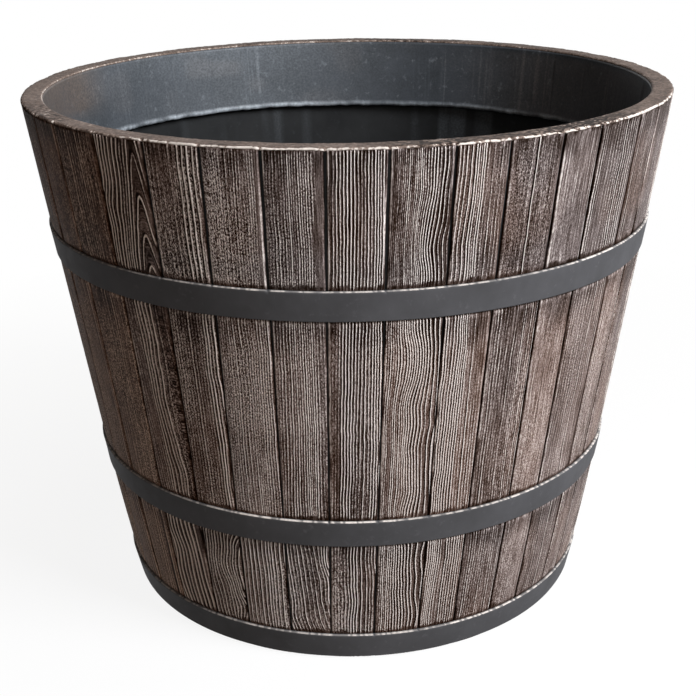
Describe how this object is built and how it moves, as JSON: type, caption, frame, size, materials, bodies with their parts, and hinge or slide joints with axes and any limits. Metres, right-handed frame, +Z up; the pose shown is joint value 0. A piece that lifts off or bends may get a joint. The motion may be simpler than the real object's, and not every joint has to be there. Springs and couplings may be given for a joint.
{
  "type": "plastic barrel planter",
  "caption": "Round tapered planter moulded in plastic to look like a staved barrel, with a broad rolled rim, smooth dark bands round its side and push-in plugs in its drained floor.",
  "frame": {"origin": "on the ground at the middle of the foot", "axes": "+Z up along the planter's own axis, the pictured front faces -Y, +X to the right of the front"},
  "size_m": [0.4, 0.4, 0.324],
  "materials": {
    "stave_plastic": "moulded wood grain, dark brown with a tan dry-brushed top colour",
    "band_plastic": "smooth satin charcoal",
    "plug_rubber": "matt black"
  },
  "bodies": {
    "pot": {"barrel_shell": "stave_plastic", "upper_band": "band_plastic", "middle_band": "band_plastic", "base_band": "band_plastic"},
    "plug_1": {"drain_plug_1": "plug_rubber"},
    "plug_2": {"drain_plug_2": "plug_rubber"},
    "plug_3": {"drain_plug_3": "plug_rubber"},
    "plug_4": {"drain_plug_4": "plug_rubber"},
    "plug_5": {"drain_plug_5": "plug_rubber"}
  },
  "joints": [
    {"name": "plug_1_pull", "type": "slide", "parent": "pot", "child": "plug_1", "axis": [0, 0, 1], "range_m": [0, 0.03]},
    {"name": "plug_2_pull", "type": "slide", "parent": "pot", "child": "plug_2", "axis": [0, 0, 1], "range_m": [0, 0.03]},
    {"name": "plug_3_pull", "type": "slide", "parent": "pot", "child": "plug_3", "axis": [0, 0, 1], "range_m": [0, 0.03]},
    {"name": "plug_4_pull", "type": "slide", "parent": "pot", "child": "plug_4", "axis": [0, 0, 1], "range_m": [0, 0.03]},
    {"name": "plug_5_pull", "type": "slide", "parent": "pot", "child": "plug_5", "axis": [0, 0, 1], "range_m": [0, 0.03]}
  ]
}
